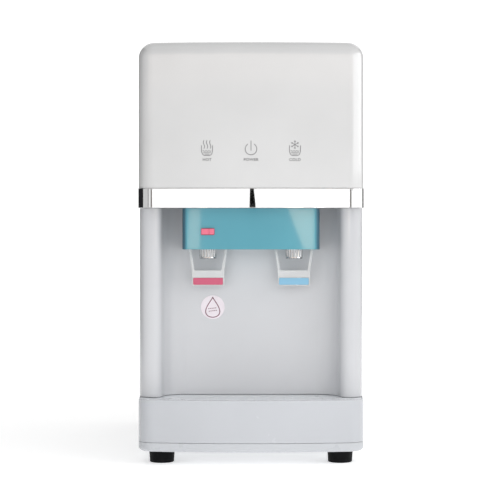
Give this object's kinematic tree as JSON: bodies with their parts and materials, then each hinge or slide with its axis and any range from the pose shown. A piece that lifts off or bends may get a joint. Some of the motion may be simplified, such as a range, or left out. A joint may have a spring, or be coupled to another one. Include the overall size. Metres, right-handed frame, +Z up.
{
  "type": "countertop water dispenser",
  "caption": "Countertop hot and cold water dispenser with cup levers under a metallic faucet cover, a dispensing recess, a pull-out drip tray and a filter bay.",
  "frame": {"origin": "on the ground under the middle of the bounding box", "axes": "+Z up, the front with the taps faces -Y, +X is the viewer's right"},
  "size_m": [0.26, 0.47, 0.485],
  "materials": {
    "head_white": "glossy",
    "panel_white": "glossy",
    "lid_white": "glossy",
    "tray_white": "glossy",
    "grille_white": "satin",
    "pan_white": "satin",
    "side_paint": "satin powder coat",
    "rear_steel": "galvanised",
    "frame_steel": "galvanised",
    "trim_chrome": "polished",
    "teal_metallic": "metallic gloss",
    "lever_white": "satin",
    "hot_red": "glossy",
    "cold_blue": "glossy",
    "slider_red": "glossy",
    "nozzle_clear": "clear plastic",
    "sticker": "satin",
    "black_rubber": "matte",
    "seal_rubber": "matte",
    "tap_plastic": "satin",
    "stainless": "brushed",
    "spring_steel": "drawn",
    "foam": "foam",
    "copper": "drawn",
    "compressor_black": "gloss enamel",
    "condenser_black": "satin enamel",
    "band_steel": "dull",
    "float_plastic": "satin",
    "filter_white": "satin",
    "manifold_grey": "satin",
    "valve_plastic": "satin",
    "tube_white": "translucent",
    "tube_silicone": "translucent",
    "black_plastic": "satin",
    "board_green": "solder mask",
    "box_grey": "satin",
    "rocker_red": "glossy",
    "rocker_green": "glossy"
  },
  "bodies": {
    "housing": {"base_pan": "pan_white", "chrome_trim": "trim_chrome", "cold_insulation": "foam", "cold_nozzle": "nozzle_clear", "cold_tank": "stainless", "cold_tap_body": "tap_plastic", "cold_valve_spring": "spring_steel", "cold_water_tubes": "tube_white", "compressor": "compressor_black", "compressor_mounts": "black_rubber", "condenser": "condenser_black", "control_box": "box_grey", "display_board": "board_green", "drain_cap": "black_plastic", "drain_outlet": "black_plastic", "evaporator_coil": "copper", "faucet_cover": "teal_metallic", "feet": "black_rubber", "front_panel": "panel_white", "guide_sticker": "sticker", "head_cover": "head_white", "heater_band": "band_steel", "hot_nozzle": "nozzle_clear", "hot_tank": "stainless", "hot_tap_body": "tap_plastic", "hot_valve_spring": "spring_steel", "hot_water_tubes": "tube_silicone", "inlet_fitting": "valve_plastic", "inner_frame": "frame_steel", "lever_pins": "stainless", "main_board": "board_green", "mains_inlet": "black_plastic", "manifold": "manifold_grey", "rear_panel": "rear_steel", "rear_screws": "stainless", "refrigerant_pipes": "copper", "side_panel_left": "side_paint", "side_panel_right": "side_paint", "solenoid_valve": "valve_plastic", "switch_bezels": "black_plastic", "tank_lid": "valve_plastic"},
    "hot_lever": {"hot_lever": "lever_white", "hot_lever_strip": "hot_red"},
    "cold_lever": {"cold_lever": "lever_white", "cold_lever_strip": "cold_blue"},
    "hot_stem": {"hot_valve_stem": "stainless", "hot_valve_seal": "seal_rubber"},
    "cold_stem": {"cold_valve_stem": "stainless", "cold_valve_seal": "seal_rubber"},
    "safety_slider": {"safety_slider": "slider_red"},
    "drip_tray": {"drip_tray": "tray_white", "tray_deck": "grille_white"},
    "drip_grille": {"drip_grille": "grille_white"},
    "top_cover": {"top_cover": "lid_white"},
    "filter_1": {"filter_1": "filter_white"},
    "filter_2": {"filter_2": "filter_white"},
    "filter_3": {"filter_3": "filter_white"},
    "hot_rocker": {"hot_rocker": "rocker_red"},
    "cold_rocker": {"cold_rocker": "rocker_green"},
    "level_float": {"level_float": "float_plastic"}
  },
  "joints": [
    {"name": "hot_lever_hinge", "type": "hinge", "parent": "housing", "child": "hot_lever", "pos_m": [-0.05, -0.18, 0.28], "axis": [1, 0, 0], "range_deg": [0, 9.5], "stiffness_Nm_per_rad": 0.8, "springref_deg": -2.86},
    {"name": "cold_lever_hinge", "type": "hinge", "parent": "housing", "child": "cold_lever", "pos_m": [0.05, -0.18, 0.28], "axis": [1, 0, 0], "range_deg": [0, 9.5], "stiffness_Nm_per_rad": 0.8, "springref_deg": -2.86},
    {"name": "hot_stem_slide", "type": "slide", "parent": "housing", "child": "hot_stem", "axis": [0, 0, -1], "range_m": [0, 0.0021], "deforming": ["hot_valve_spring"]},
    {"name": "cold_stem_slide", "type": "slide", "parent": "housing", "child": "cold_stem", "axis": [0, 0, -1], "range_m": [0, 0.0021], "deforming": ["cold_valve_spring"]},
    {"name": "safety_slide", "type": "slide", "parent": "housing", "child": "safety_slider", "axis": [1, 0, 0], "range_m": [0, 0.004]},
    {"name": "drip_tray_slide", "type": "slide", "parent": "housing", "child": "drip_tray", "axis": [0, -1, 0], "range_m": [0, 0.09]},
    {"name": "grille_lift", "type": "slide", "parent": "drip_tray", "child": "drip_grille", "axis": [0, 0, 1], "range_m": [0, 0.04]},
    {"name": "top_cover_lift", "type": "slide", "parent": "housing", "child": "top_cover", "axis": [0, 0, 1], "range_m": [0, 0.04]},
    {"name": "float_slide", "type": "slide", "parent": "housing", "child": "level_float", "axis": [0, 0, 1], "range_m": [0, 0.045]},
    {"name": "filter_1_turn", "type": "hinge", "parent": "housing", "child": "filter_1", "pos_m": [-0.07, 0.12, 0.225], "axis": [0, 0, 1], "range_deg": [0, 90]},
    {"name": "filter_2_turn", "type": "hinge", "parent": "housing", "child": "filter_2", "pos_m": [0, 0.12, 0.225], "axis": [0, 0, 1], "range_deg": [0, 90]},
    {"name": "filter_3_turn", "type": "hinge", "parent": "housing", "child": "filter_3", "pos_m": [0.07, 0.12, 0.225], "axis": [0, 0, 1], "range_deg": [0, 90]},
    {"name": "hot_rocker_hinge", "type": "hinge", "parent": "housing", "child": "hot_rocker", "pos_m": [-0.048, 0.215, 0.085], "axis": [1, 0, 0], "range_deg": [0, 16]},
    {"name": "cold_rocker_hinge", "type": "hinge", "parent": "housing", "child": "cold_rocker", "pos_m": [-0.026, 0.215, 0.085], "axis": [1, 0, 0], "range_deg": [0, 16]}
  ],
  "couplings": [
    {"joint": "hot_stem_slide", "follows": "hot_lever_hinge", "m_per_rad": 0.0125},
    {"joint": "cold_stem_slide", "follows": "cold_lever_hinge", "m_per_rad": 0.0125}
  ]
}
